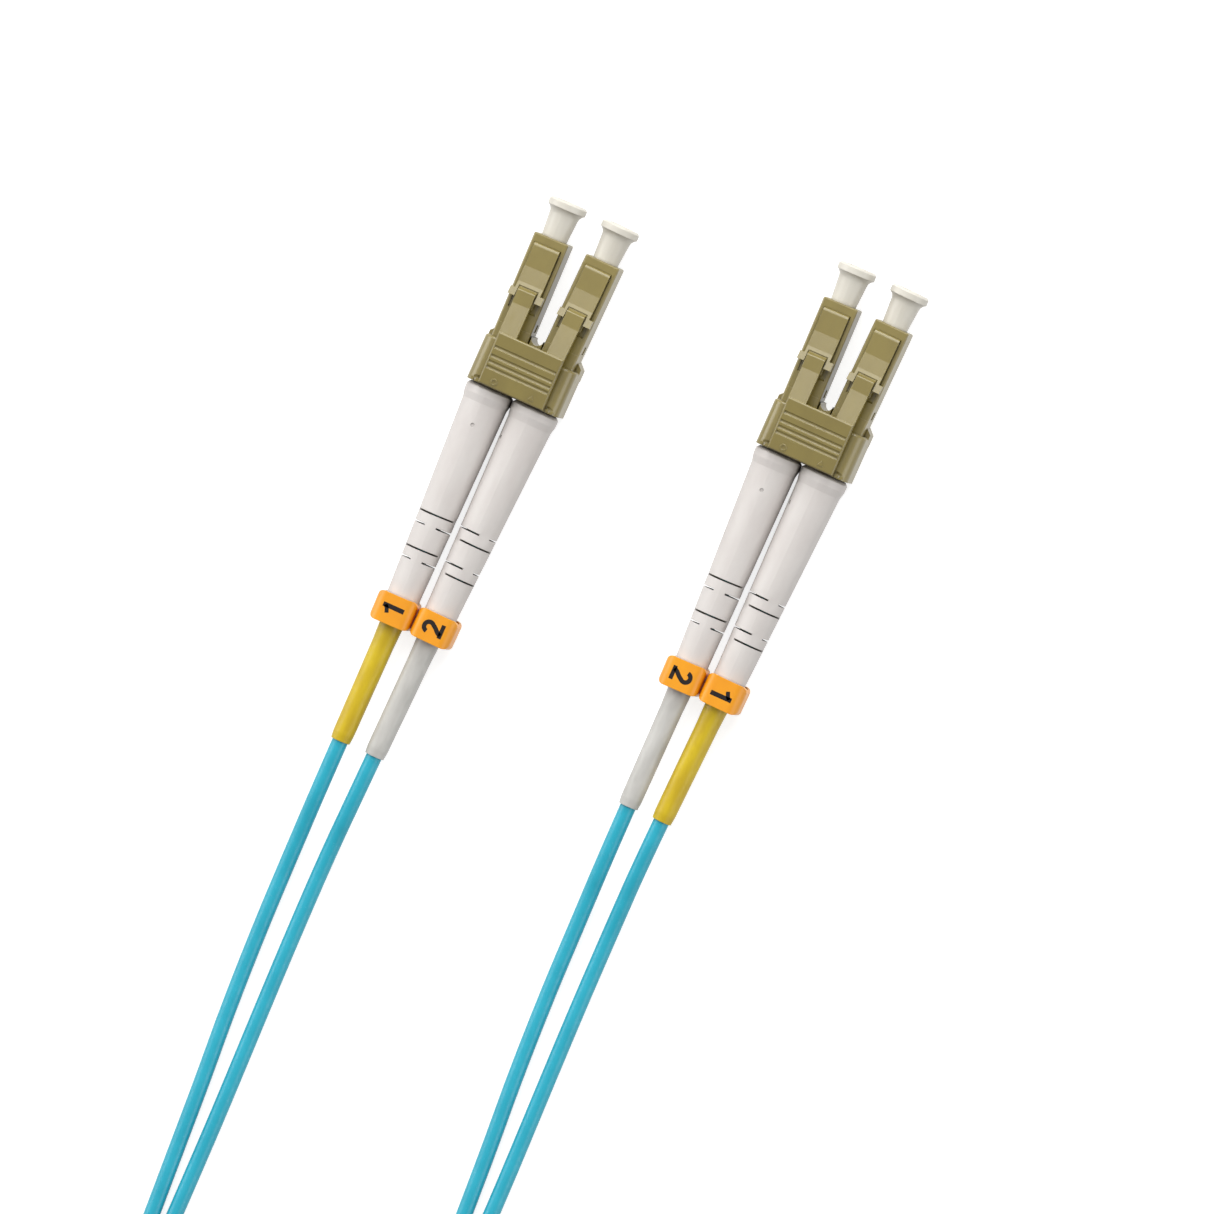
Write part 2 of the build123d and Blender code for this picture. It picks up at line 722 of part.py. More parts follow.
# ---------------------------------------------------------------- duplex clip and trigger
def make_clip(end, front):
    side = side_plane(front)
    back = Axis(front.origin, front.z_dir)
    with BuildPart() as clip:
        with BuildSketch(front.offset(clip_front)):
            with Locations((0, (clip_top - axis_height) / 2)):
                Rectangle(clip_width, clip_top + axis_height)
        extrude(amount=clip_length)
        long_edges = clip.edges().filter_by(Axis.Y).group_by(Axis.Z)
        fillet(long_edges[-1], wing_radius)
        fillet(long_edges[0], clip_edge_radius)
        fillet(clip.faces().sort_by(back)[0].edges(), clip_front_edge)
        # sill that reaches forward under the plugs, and the saddle between them
        with BuildSketch(front.offset(sill_front)):
            with Locations((0, -axis_height / 2)):
                Rectangle(clip_width, axis_height)
        extrude(amount=sill_reach + clip_joint)
        chamfer(clip.edges().filter_by(Axis.Z).sort_by(back)[:2], sill_chamfer)
        with BuildSketch(front.offset(saddle_front)):
            with Locations((0, (saddle_rise - axis_height) / 2)):
                Rectangle(saddle_width + 2 * saddle_lap, saddle_rise + axis_height)
        extrude(amount=saddle_reach + clip_joint)
        with BuildSketch(Plane(origin=front.origin + front.z_dir * saddle_front)):
            Circle(saddle_width / 2 - saddle_land)
        extrude(amount=2 * axis_height, both=True, mode=Mode.SUBTRACT)
        # cradle of the trigger's hinge
        cradle_front = trigger_hinge_station - cradle_reach
        with BuildSketch(side):
            with Locations(((clip_rear + cradle_front) / 2, (trigger_hinge_height + cradle_base) / 2)):
                Rectangle(clip_rear - cradle_front, trigger_hinge_height - cradle_base)
        extrude(amount=(plug_pitch + arm_width) / 2, both=True)
        # channels for the two plugs
        with BuildSketch(front):
            with Locations((-plug_pitch / 2, 0), (plug_pitch / 2, 0)):
                Rectangle(clip_bore, clip_bore)
        extrude(amount=2 * clip_rear, mode=Mode.SUBTRACT)
        with BuildSketch(side):
            with Locations((trigger_hinge_station, trigger_hinge_height)):
                Circle(hinge_bead_diameter / 2 + running_gap)
        extrude(amount=clip_width / 2, both=True, mode=Mode.SUBTRACT)
        # small moulded nubs on the wings
        inner_nub = plate_width / 2 + nub_margin
        outer_nub = inner_nub + nub_spacing
        nub_base = front.origin + front.z_dir * (clip_rear - nub_margin) + Vector(0, 0, cradle_base)
        with BuildSketch(Plane(origin=nub_base)):
            with Locations((-outer_nub, 0), (-inner_nub, 0), (inner_nub, 0), (outer_nub, 0)):
                Circle(nub_radius)
        extrude(amount=clip_top + nub_height - cradle_base)
    keep(clip, f"{end}_clip")


def make_trigger(end, front, plugs):
    side = side_plane(front)
    slope = (plate_front_top - plate_rear_top) / plate_length
    half_width = plate_width / 2
    plate_base = trigger_hinge_height + plate_clearance
    arm_top = arm_underside + arm_thickness
    arm_root = plate_front + arm_root_depth
    arm_slope = (plate_front_top - arm_root_drop - arm_top) / (plate_front - arm_flat_end)
    root_rise = arm_slope * (arm_root - arm_flat_end)
    with BuildPart() as trigger:
        with BuildSketch(side):
            with BuildLine():
                Polyline(
                    (plate_front, plate_front_top - plate_front_thickness),
                    (plate_front, plate_front_top),
                    (plate_rear, plate_rear_top),
                    (plate_rear, plate_base),
                    (trigger_hinge_station - plate_web, plate_base),
                    close=True,
                )
            make_face()
        extrude(amount=half_width, both=True)
        fillet(trigger.faces().sort_by(Axis.Z)[-1].edges(), plate_edge_fillet)
        with BuildSketch(side):
            with Locations((trigger_hinge_station, trigger_hinge_height)):
                Circle(hinge_bead_diameter / 2)
        extrude(amount=half_width - bead_inset, both=True)
        # finger grooves across the plate
        for setback in groove_offsets:
            surface = plate_front_top - slope * setback
            with BuildSketch(side):
                with Locations((plate_front + setback, surface + groove_radius - groove_depth)):
                    Circle(groove_radius)
            extrude(amount=half_width - groove_margin, both=True, mode=Mode.SUBTRACT)
        for plug in plugs.values():
            with BuildSketch(side_plane(plug)):
                with BuildLine():
                    Polyline(
                        (arm_tip, arm_underside),
                        (arm_tip + arm_edge, arm_underside + arm_edge),
                        (arm_flat_start - arm_edge, arm_top - arm_edge / 2),
                        (arm_flat_start, arm_top),
                        (arm_flat_end, arm_top),
                        (arm_root, arm_top + root_rise),
                        (arm_root, arm_underside + root_rise),
                        (arm_flat_end + arm_edge, arm_underside),
                        close=True,
                    )
                make_face()
            extrude(amount=arm_width / 2, both=True)
        # raised moulding marks: a small ring and a small triangle
        mark_height = plate_front_top - slope * (plate_length - mark_setback)
        spot = front.origin + front.z_dir * (plate_rear - mark_setback) + Vector(0, 0, mark_height)
        with BuildSketch(Plane(origin=spot, x_dir=(1, 0, 0), z_dir=(0, -slope, 1))):
            with Locations((-mark_offset, 0)):
                Circle(mark_radius)
                Circle(mark_radius - mark_line, mode=Mode.SUBTRACT)
            with Locations((mark_offset, 0)):
                RegularPolygon(mark_radius, 3, rotation=90)
        extrude(amount=mark_rise)
    keep(trigger, f"{end}_trigger")


# ---------------------------------------------------------------- cable
def sleeve_exit(end, side):
    """Where a leg leaves its shrink sleeve."""
    sideways = sleeve_ends[end][side]
    return Vector(middle_x[end] + sideways, front_y[end] - sleeve_rear, axis_height - sleeve_drop)


def split_point(end):
    """Where two legs join into one zipcord."""
    return Vector(middle_x[end] + split_middle, front_y[end] - split_station, cable_diameter / 2)


def corner_radii(points):
    """Radius of each corner: as large as its shorter run allows."""
    radii = []
    for before, corner, after in zip(points, points[1:], points[2:]):
        turn = (corner - before).get_angle(after - corner)
        shorter = min((corner - before).length, (after - corner).length)
        radii.append(corner_share * shorter / tan(radians(turn) / 2))
    return radii


def make_leg(tag, end, side, plug, exit_point):
    """One leg, from inside its sleeve to the split, where it becomes a lobe of the zipcord."""
    along = (exit_point - on_axis(plug, boot_rear)).normalized()
    split = split_point(end)
    points = [exit_point - along * sleeve_lap, exit_point + along * leg_lead]
    for sideways, station, lift in leg_routes[side]:
        points.append(Vector(middle_x[end] + sideways, front_y[end] - station, split.Z + lift))
    points.append(split + Vector(side * zip_pitch / 2, 0, 0))
    radii = corner_radii(points)
    with BuildPart() as leg:
        with BuildLine():
            line = FilletPolyline(*points, radius=radii)
        with BuildSketch(Plane(origin=line @ 0, z_dir=line % 0)):
            Circle(cable_diameter / 2)
        sweep(path=line)
    keep(leg, f"{tag}_cable_leg")
    report_cord(f"{tag} leg", leg, line, radii, pi * cable_diameter**2 / 4)
    return line.length


def report_cord(name, builder, line, radii, section):
    ratio = builder.part.volume / (section * line.length)
    print(f"{name}: length {line.length:.1f}, least radius {min(radii):.1f}, volume ratio {ratio:.4f}")
    print("   radii", [round(radius, 1) for radius in radii])


def make_zip_run(end, tangent_point):
    """Zipcord from the split to the coil: two lobes side by side with a web between."""
    start = split_point(end)
    points = [start]
    points += [start + Vector(sideways, -back, lift) for sideways, back, lift in zip_routes[end]]
    points.append(tangent_point)
    radii = corner_radii(points)
    with BuildPart() as zip_run:
        with BuildLine():
            line = FilletPolyline(*points, radius=radii)
        forward = line % 0
        with BuildSketch(Plane(origin=start, x_dir=forward.cross(Vector(0, 0, 1)), z_dir=forward)) as section:
            with Locations((-zip_pitch / 2, 0), (zip_pitch / 2, 0)):
                Circle(cable_diameter / 2)
            Rectangle(zip_pitch, zip_web)
        sweep(path=line)
    keep(zip_run, f"{end}_zip_run")
    report_cord(f"{end} zip run", zip_run, line, radii, section.sketch.area)
    return line.length


def make_coil(centre, outer_turn, inner_turn):
    """The coiled zipcord's outer shape, two layers of turns on edge, and the two ties around it."""
    middle_turn = (outer_turn + inner_turn) / 2
    width = outer_turn - inner_turn + turn_pitch
    height = coil_layers * layer_height
    corner = cable_diameter / 2
    with BuildPart() as coil:
        with BuildSketch(Plane(origin=centre, x_dir=(1, 0, 0), z_dir=(0, -1, 0))):
            with Locations((middle_turn, height / 2)):
                RectangleRounded(width, height, corner)
        revolve(axis=Axis(centre, (0, 0, 1)))
    keep(coil, "zipcord_coil")
    with BuildPart() as ties:
        with BuildSketch(Plane(origin=centre, x_dir=(0, 1, 0), z_dir=(1, 0, 0))):
            for way in (-1, 1):
                with Locations((way * middle_turn, height / 2)):
                    RectangleRounded(width + 2 * tie_thickness, height + 2 * tie_thickness, corner + tie_thickness)
        extrude(amount=tie_width / 2, both=True)
        add(coil.part, mode=Mode.SUBTRACT)
    keep(ties, "coil_ties")


# ---------------------------------------------------------------- the whole cord
all_plugs = []
cable_used = 0
for end in ("a", "b"):
    front = connector_plane(end)
    plugs = {side: plug_plane(end, side) for side in (-1, 1)}
    all_plugs += plugs.values()
    make_clip(end, front)
    make_trigger(end, front, plugs)
    make_marker_rings(end, plugs)
    for number, (side, plug) in enumerate(plugs.items(), start=1):
        tag = f"{end}{number}"
        exit_point = sleeve_exit(end, side)
        make_housing(tag, plug)
        make_latch(tag, plug)
        make_dust_cap(tag, plug)
        make_ferrule(tag, plug)
        make_flange(tag, plug)
        make_fiber(tag, plug)
        make_spring(tag, plug)
        make_back_body(tag, plug)
        make_cable_end(tag, plug, exit_point)
        make_boot(tag, plug, boot_rolls[side])
        make_sleeve(tag, plug, exit_point)
        leg_length = make_leg(tag, end, side, plug, exit_point)
    cable_used += leg_length + sleeve_rear - sleeve_lap + ferrule_protrusion
make_crimp_sleeves(all_plugs)

# The coil's turns take the length that is left. The cord enters on the left in the lower
# layer, winds inwards, climbs, winds outwards and leaves on the right in the upper layer.
mean_turn = (patch_length - cable_used - run_lengths) / (2 * pi * coil_turns)
outer_turn = mean_turn + coil_turns / coil_layers * turn_pitch / 2
inner_turn = mean_turn - coil_turns / coil_layers * turn_pitch / 2
coil_station = split_station + coil_setback + outer_turn
coil_centre = Vector(0, front_y["a"] - coil_station, tie_thickness)
lower_turn = Vector(-outer_turn, 0, layer_height / 2)
upper_turn = Vector(outer_turn, 0, layer_height * 3 / 2)
run_a = make_zip_run("a", coil_centre + lower_turn)
run_b = make_zip_run("b", coil_centre + upper_turn)
make_coil(coil_centre, outer_turn, inner_turn)
coiled = 2 * pi * coil_turns * mean_turn
print(f"outer turn radius {outer_turn:.3f}, inner {inner_turn:.3f}, centre {coil_centre}")
print(f"length tip to tip {cable_used + run_a + run_b + coiled:.1f}")
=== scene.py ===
import json
from math import asin, cos, pi, radians, sin, tan

import bmesh
import bpy
from mathutils import Matrix, Vector


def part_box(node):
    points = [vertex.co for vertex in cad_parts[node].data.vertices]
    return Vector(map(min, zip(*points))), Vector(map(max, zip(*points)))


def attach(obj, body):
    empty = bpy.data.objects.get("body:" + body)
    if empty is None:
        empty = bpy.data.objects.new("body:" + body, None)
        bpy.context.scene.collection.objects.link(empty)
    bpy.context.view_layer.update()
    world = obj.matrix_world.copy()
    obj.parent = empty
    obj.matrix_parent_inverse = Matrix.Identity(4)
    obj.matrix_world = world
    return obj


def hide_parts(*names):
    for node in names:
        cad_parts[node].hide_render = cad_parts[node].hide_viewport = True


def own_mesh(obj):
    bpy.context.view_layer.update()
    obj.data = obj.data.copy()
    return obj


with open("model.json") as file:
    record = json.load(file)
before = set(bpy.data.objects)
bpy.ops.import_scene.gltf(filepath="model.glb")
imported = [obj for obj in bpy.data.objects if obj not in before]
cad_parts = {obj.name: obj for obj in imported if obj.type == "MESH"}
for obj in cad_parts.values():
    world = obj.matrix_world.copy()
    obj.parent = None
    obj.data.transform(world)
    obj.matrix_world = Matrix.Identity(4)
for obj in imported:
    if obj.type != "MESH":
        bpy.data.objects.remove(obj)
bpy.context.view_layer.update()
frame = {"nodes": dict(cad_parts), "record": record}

scene = bpy.context.scene
mm = 0.001

# ---------------------------------------------------------------- places, from the frame
mounts = {mount["name"]: mount for mount in frame["record"]["mounts"]}
slots = {sub["node"]: sub["material_slot"] for sub in frame["record"]["subparts"]}
front = {end: Vector(mounts[f"{end}_duplex_plug"]["pos_m"]) for end in "ab"}
coil_low, coil_high = (Vector(corner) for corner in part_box("zipcord_coil"))
coil_centre = (coil_low + coil_high) / 2

# ---------------------------------------------------------------- cable, as in the CAD source
cable_diameter = 2.0 * mm
lobe_spacing = 2.1 * mm
web_thickness = 0.9 * mm
turn_pitch = 2.2 * mm
coil_turns = 4.5
roll_height = 1.7 * mm  # the zipcord's climb from the floor over which it rolls on edge
round_steps = 24
split = {end: front[end] + Vector((1.2, -137.5, -2.2)) * mm for end in "ab"}

# where each sleeve begins on its boot and ends, from the connector's front: left plug, right plug
boot_ends = {"1": Vector((-2.489, -49.59, 0)) * mm, "2": Vector((2.489, -49.59, 0)) * mm}
sleeve_ends = {
    "a1": Vector((-2.50, -66.4, -0.3)) * mm,
    "a2": Vector((2.08, -66.4, -0.3)) * mm,
    "b1": Vector((-2.55, -66.4, -0.3)) * mm,
    "b2": Vector((1.92, -66.4, -0.3)) * mm,
}

# cable legs behind the sleeves, in mm: sideways, back from the front faces, up from the axes
left_leg = [
    (-2.62, -80.5, -2.0),
    (-2.47, -91.0, -2.2),
    (-2.00, -102.0, -2.2),
    (-1.30, -111.5, -2.2),
    (-0.80, -120.5, -2.2),
    (-0.28, -129.3, -2.2),
    (0.15, -137.5, -2.2),
]
right_leg = [
    (1.55, -80.0, -2.0),
    (1.62, -91.5, -2.2),
    (1.88, -103.0, -2.2),
    (2.14, -113.5, -2.2),
    (2.24, -122.0, -2.2),
    (2.29, -130.0, -2.2),
    (2.25, -137.5, -2.2),
]
leg_routes = {"1": left_leg, "2": right_leg}

# zipcord between each split and the coil, in mm from the split
zip_routes = {
    "a": [(0, 0, 0), (0.05, -7.3, 0), (-2.20, -14.3, 0.1), (-6.50, -20.2, 0.6), (-8.80, -27.2, 1.4)],
    "b": [(0, 0, 0), (0.10, -8.5, 0), (1.70, -16.8, 0.1), (4.75, -24.8, 1.9), (6.40, -33.1, 4.7)],
}


def link(obj):
    scene.collection.objects.link(obj)
    return obj


def line_through(points):
    """The line of an open quadratic NURBS spline with these control points, as points in order."""
    data = bpy.data.curves.new("guide", "CURVE")
    data.dimensions = "3D"
    data.resolution_u = 12
    spline = data.splines.new("NURBS")
    spline.points.add(len(points) - 1)
    for place, point in zip(spline.points, points):
        place.co = (*point, 1.0)
    spline.order_u = 3
    spline.use_endpoint_u = True
    guide = link(bpy.data.objects.new("guide", data))
    mesh = bpy.data.meshes.new_from_object(guide.evaluated_get(bpy.context.evaluated_depsgraph_get()))
    line = [vertex.co.copy() for vertex in mesh.vertices]
    bpy.data.meshes.remove(mesh)
    bpy.data.objects.remove(guide)
    return line


def tube(name, line, outline, turn_at):
    """A closed mesh tube along a line. turn_at gives how far the outline is rolled at a point."""
    mesh = bmesh.new()
    rings = []
    for index, point in enumerate(line):
        before = line[max(index - 1, 0)]
        after = line[min(index + 1, len(line) - 1)]
        along = (after - before).normalized()
        flat = along.cross(Vector((0, 0, 1))).normalized()
        up = flat.cross(along)
        turn = turn_at(point)
        wide = flat * cos(turn) + up * sin(turn)
        thin = along.cross(wide)
        rings.append([mesh.verts.new(point + wide * x + thin * y) for x, y in outline])
    for first, second in zip(rings, rings[1:]):
        for index in range(len(outline)):
            following = (index + 1) % len(outline)
            mesh.faces.new((first[index], first[following], second[following], second[index]))
    mesh.faces.new(rings[0])
    mesh.faces.new(list(reversed(rings[-1])))
    bmesh.ops.recalc_face_normals(mesh, faces=mesh.faces)
    data = bpy.data.meshes.new(name)
    mesh.to_mesh(data)
    mesh.free()
    data.shade_smooth()
    return link(bpy.data.objects.new(name, data))


# ---------------------------------------------------------------- cords
round_angles = [2 * pi * step / round_steps for step in range(round_steps)]
round_outline = [(cable_diameter / 2 * cos(angle), cable_diameter / 2 * sin(angle)) for angle in round_angles]


def make_leg(tag):
    end = tag[0]
    side = tag[1]
    along = (sleeve_ends[tag] - boot_ends[side]).normalized()
    points = [sleeve_ends[tag] - along * 2 * mm, sleeve_ends[tag] + along * 5.5 * mm]
    points += [Vector(point) * mm for point in leg_routes[side]]
    line = line_through([front[end] + point for point in points])
    leg = tube(f"{tag}_leg_cable", line, round_outline, lambda point: 0)
    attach(leg, "cord")
    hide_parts(f"{tag}_cable_leg")
    return leg


def spiral_points():
    """Control points of the coil: inwards in the lower layer, outwards in the upper one."""
    per_turn = 24
    tighten = 1 / cos(pi / per_turn)
    outer = (coil_high.x - coil_low.x) / 2 - turn_pitch / 2
    count = round(coil_turns * per_turn)
    half = coil_turns / 2
    layer = (coil_high.z - coil_low.z) / 4
    points = []
    for step in range(count + 1):
        turns = step / per_turn
        inward = half - abs(half - turns)
        radius = (outer - inward * turn_pitch) * tighten
        climb = min(max((turns - half) / 0.5 + 0.5, 0), 1)
        climb = climb * climb * (3 - 2 * climb)
        angle = pi + 2 * pi * turns
        height = coil_low.z + layer + 2 * layer * climb
        x = coil_centre.x + radius * cos(angle)
        y = coil_centre.y + radius * sin(angle)
        points.append(Vector((x, y, height)))
    return points


def zip_outline():
    """Outline of the zipcord: two round jackets with a web between."""
    radius = cable_diameter / 2
    reach = pi - asin(web_thickness / cable_diameter)
    outline = []
    for way in (1, -1):
        for step in range(17):
            angle = reach * (step / 8 - 1)
            outline.append((way * (lobe_spacing / 2 + radius * cos(angle)), way * radius * sin(angle)))
    return outline


def zip_turn(point):
    """The zipcord lies flat on the floor and rolls on edge as it rises to the coil."""
    lift = point.z - cable_diameter / 2
    return pi / 2 * min(max(lift / roll_height, 0), 1)


def make_zipcord():
    run_a = [split["a"] + Vector(point) * mm for point in zip_routes["a"]]
    run_b = [split["b"] + Vector(point) * mm for point in reversed(zip_routes["b"])]
    line = line_through(run_a + spiral_points() + run_b)
    zipcord = tube("zipcord", line, zip_outline(), zip_turn)
    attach(zipcord, "cord")
    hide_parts("a_zip_run", "b_zip_run", "zipcord_coil")
    return zipcord


legs = [make_leg(tag) for tag in sleeve_ends]
zipcord = make_zipcord()


# ---------------------------------------------------------------- springs, copied as they are; a real spring shortens as its ferrule floats back
def make_spring(tag):
    node = f"{tag}_spring"
    spring = link(bpy.data.objects.new(f"{tag}_spring_wire", frame["nodes"][node].data.copy()))
    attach(spring, "cord")
    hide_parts(node)
    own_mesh(spring)
    return spring


springs = [make_spring(tag) for tag in sleeve_ends]

# ---------------------------------------------------------------- camera
view_roll = radians(7.5)
view_pitch = radians(2.6)
view_turn = radians(24.3)
frame_width = 147.5 * mm
target = (front["a"] + front["b"]) / 2 + Vector((3.0, -41.77, 0)) * mm
camera_data = bpy.data.cameras.new("camera")
camera_data.sensor_width = 36
camera_data.lens = 600
camera_data.clip_end = 20
camera = link(bpy.data.objects.new("camera", camera_data))
distance = frame_width * camera_data.lens / camera_data.sensor_width
lean = Matrix.Rotation(-view_pitch, 3, "X") @ Matrix.Rotation(view_roll, 3, "Y")
away = lean @ Vector((0, 0, 1))
up = lean @ Vector((-sin(view_turn), cos(view_turn), 0))
across = up.cross(away)
camera.matrix_world = Matrix((
    (across.x, up.x, away.x, target.x + away.x * distance),
    (across.y, up.y, away.y, target.y + away.y * distance),
    (across.z, up.z, away.z, target.z + away.z * distance),
    (0, 0, 0, 1),
))
scene.camera = camera


# ---------------------------------------------------------------- digits on the marker rings
ring_half = 2.61 * mm
ink_lift = 0.012 * mm


def stroke(mesh, points, width):
    """A flat ribbon of this width along a line, in the plane of the digit."""
    edges = []
    for index, point in enumerate(points):
        before = points[max(index - 1, 0)]
        after = points[min(index + 1, len(points) - 1)]
        along = (after - before).normalized()
        side = Vector((-along.y, along.x)) * width / 2
        edges.append(tuple(mesh.verts.new((*corner, 0)) for corner in (point + side, point - side)))
    for (a, b), (c, d) in zip(edges, edges[1:]):
        mesh.faces.new((a, b, d, c))


def digit_mesh(digit):
    """The digit 1 or 2 in bold strokes, 2.75 mm tall, centred on its own plane."""
    mesh = bmesh.new()
    if digit == "1":
        stroke(mesh, [Vector((0.31, -1.375)), Vector((0.31, 1.375))], 0.58)
        stroke(mesh, [Vector((0.31, 1.08)), Vector((0.02, 0.80)), Vector((-0.57, 0.56))], 0.5)
    else:
        angles = [radians(angle) for angle in range(170, -36, -8)]
        bowl = [Vector((0.60 * cos(angle), 0.55 + 0.60 * sin(angle))) for angle in angles]
        foot = [Vector((0.12, -0.30)), Vector((-0.28, -0.70)), Vector((-0.52, -1.10))]
        stroke(mesh, bowl + foot, 0.55)
        stroke(mesh, [Vector((-0.87, -1.12)), Vector((0.87, -1.12))], 0.51)
    for vertex in mesh.verts:
        vertex.co *= mm
    return mesh


def make_digit(end, side, digit, upward):
    """A digit printed on a ring's top, upright along X as upward says."""
    low, high = (Vector(corner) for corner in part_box(f"{end}_marker_rings"))
    across = low.x + ring_half if side == "1" else high.x - ring_half
    middle = Vector((across, (low.y + high.y) / 2, high.z + ink_lift))
    mesh = digit_mesh(digit)
    turn = Matrix.Rotation(pi / 2 if upward < 0 else -pi / 2, 4, "Z")
    mesh.transform(Matrix.Translation(middle) @ turn)
    data = bpy.data.meshes.new(f"{end}{side}_digit")
    mesh.to_mesh(data)
    mesh.free()
    piece = link(bpy.data.objects.new(f"{end}{side}_digit", data))
    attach(piece, "cord")
    return piece


digits = [
    make_digit("a", "1", "1", -1),
    make_digit("a", "2", "2", -1),
    make_digit("b", "1", "2", 1),
    make_digit("b", "2", "1", 1),
]


# ---------------------------------------------------------------- materials
def srgb(*levels):
    return tuple(((level / 255 + 0.055) / 1.055) ** 2.4 for level in levels)


class Surface:
    """A material with its own shader, and short ways to add what varies over it."""

    def __init__(self, name, roughness, **settings):
        self.material = bpy.data.materials.new(name)
        self.material.use_nodes = True
        self.tree = self.material.node_tree
        self.shader = self.tree.nodes["Principled BSDF"]
        self.shader.inputs["Roughness"].default_value = roughness
        for socket, value in settings.items():
            self.shader.inputs[socket.replace("_", " ")].default_value = value
        self.place = self.node("ShaderNodeTexCoord").outputs["Object"]
        self.normal = None

    def node(self, kind, **settings):
        made = self.tree.nodes.new(kind)
        for name, value in settings.items():
            setattr(made, name, value)
        return made

    def join(self, output, socket):
        self.tree.links.new(output, socket)

    def noise(self, size, detail=2.0, stretch=(1, 1, 1)):
        """Noise whose blotches are about this size, in metres."""
        mapping = self.node("ShaderNodeMapping")
        mapping.inputs["Scale"].default_value = stretch
        self.join(self.place, mapping.inputs["Vector"])
        made = self.node("ShaderNodeTexNoise")
        made.inputs["Scale"].default_value = 1 / size
        made.inputs["Detail"].default_value = detail
        self.join(mapping.outputs["Vector"], made.inputs["Vector"])
        return made.outputs["Fac"]

    def span(self, value, from_low, from_high, to_low, to_high):
        made = self.node("ShaderNodeMapRange")
        sockets = ("From Min", "From Max", "To Min", "To Max")
        for socket, number in zip(sockets, (from_low, from_high, to_low, to_high)):
            made.inputs[socket].default_value = number
        self.join(value, made.inputs["Value"])
        return made.outputs["Result"]

    def blend(self, factor, first, second):
        """A colour between two, each a colour or another node's output."""
        made = self.node("ShaderNodeMix", data_type="RGBA")
        self.join(factor, made.inputs[0])
        for socket, colour in ((made.inputs[6], first), (made.inputs[7], second)):
            if isinstance(colour, tuple):
                socket.default_value = (*colour, 1)
            else:
                self.join(colour, socket)
        return made.outputs[2]

    def colour(self, output):
        self.join(output, self.shader.inputs["Base Color"])

    def roughness(self, output):
        self.join(output, self.shader.inputs["Roughness"])

    def soften(self, radius):
        """Rounds the edges for the light. Gives how near a point is to an edge."""
        bevel = self.node("ShaderNodeBevel", samples=4)
        bevel.inputs["Radius"].default_value = radius
        self.normal = bevel.outputs["Normal"]
        geometry = self.node("ShaderNodeNewGeometry")
        aligned = self.node("ShaderNodeVectorMath", operation="DOT_PRODUCT")
        self.join(self.normal, aligned.inputs[0])
        self.join(geometry.outputs["Normal"], aligned.inputs[1])
        return self.span(aligned.outputs["Value"], 0.995, 0.85, 0, 1)

    def painted_shade_mask(self, reach):
        """Where to paint shade: 0 in a slit, a corner or under another part, 1 out in the open."""
        made = self.node("ShaderNodeAmbientOcclusion", samples=6)
        made.inputs["Distance"].default_value = reach
        return self.span(made.outputs["AO"], 0.15, 0.62, 0, 1)

    def bump(self, height, depth):
        made = self.node("ShaderNodeBump")
        made.inputs["Distance"].default_value = depth
        self.join(height, made.inputs["Height"])
        if self.normal:
            self.join(self.normal, made.inputs["Normal"])
        self.normal = made.outputs["Normal"]
        self.join(self.normal, self.shader.inputs["Normal"])


def moulded(name, base, dark, worn_and_lit_edge, painted_shade_colour, roughness, grain=0.12 * mm, grain_depth=0.004 * mm, **settings):
    """Moulded plastic: faint flow marks, a spark-eroded grain, edges lighter from rubbing and a painted
    highlight, painted shade in crevices and under other parts, and scuffs.
    """
    surface = Surface(name, roughness, **settings)
    edge = surface.soften(0.08 * mm)
    flow = surface.span(surface.noise(2.5 * mm, 3, (1, 0.45, 1)), 0.35, 0.68, 0, 1)
    scuffs = surface.span(surface.noise(0.5 * mm, 4, (1, 0.08, 1)), 0.60, 0.72, 0, 1)
    tone = surface.blend(flow, base, dark)
    # edges lighter in colour: partly rubbed wear, partly a painted highlight
    edge_wear_and_highlight = surface.blend(surface.span(edge, 0, 1, 0, 0.55), tone, worn_and_lit_edge)
    # painted shade: the colour goes dark in slits, corners and under other parts
    surface.colour(surface.blend(surface.painted_shade_mask(0.7 * mm), painted_shade_colour, edge_wear_and_highlight))
    surface.roughness(surface.span(scuffs, 0, 1, roughness - 0.02, roughness + 0.1))
    surface.bump(surface.noise(grain, 2), grain_depth)
    return surface.material


def shrink_sleeve(name, base, dark, light):
    """Heat-shrink tubing: waxy, drawn tight in soft ripples, with painted shade where it sinks in and a painted
    highlight at its edges.
    """
    surface = Surface(name, 0.44)
    ripple = surface.noise(1.5 * mm, 2, (1, 0.35, 1))
    edge = surface.soften(0.06 * mm)
    # painted shade: darker in the ripples' hollows, following the bump
    tone = surface.blend(surface.span(ripple, 0.35, 0.65, 0, 1), dark, base)
    # painted highlight: lighter colour at the edges
    surface.colour(surface.blend(surface.span(edge, 0, 1, 0, 0.5), tone, light))
    surface.roughness(surface.span(surface.noise(0.6 * mm, 3), 0.3, 0.7, 0.38, 0.52))
    surface.bump(ripple, 0.06 * mm)
    surface.bump(surface.noise(0.16 * mm, 2), 0.004 * mm)
    return surface.material


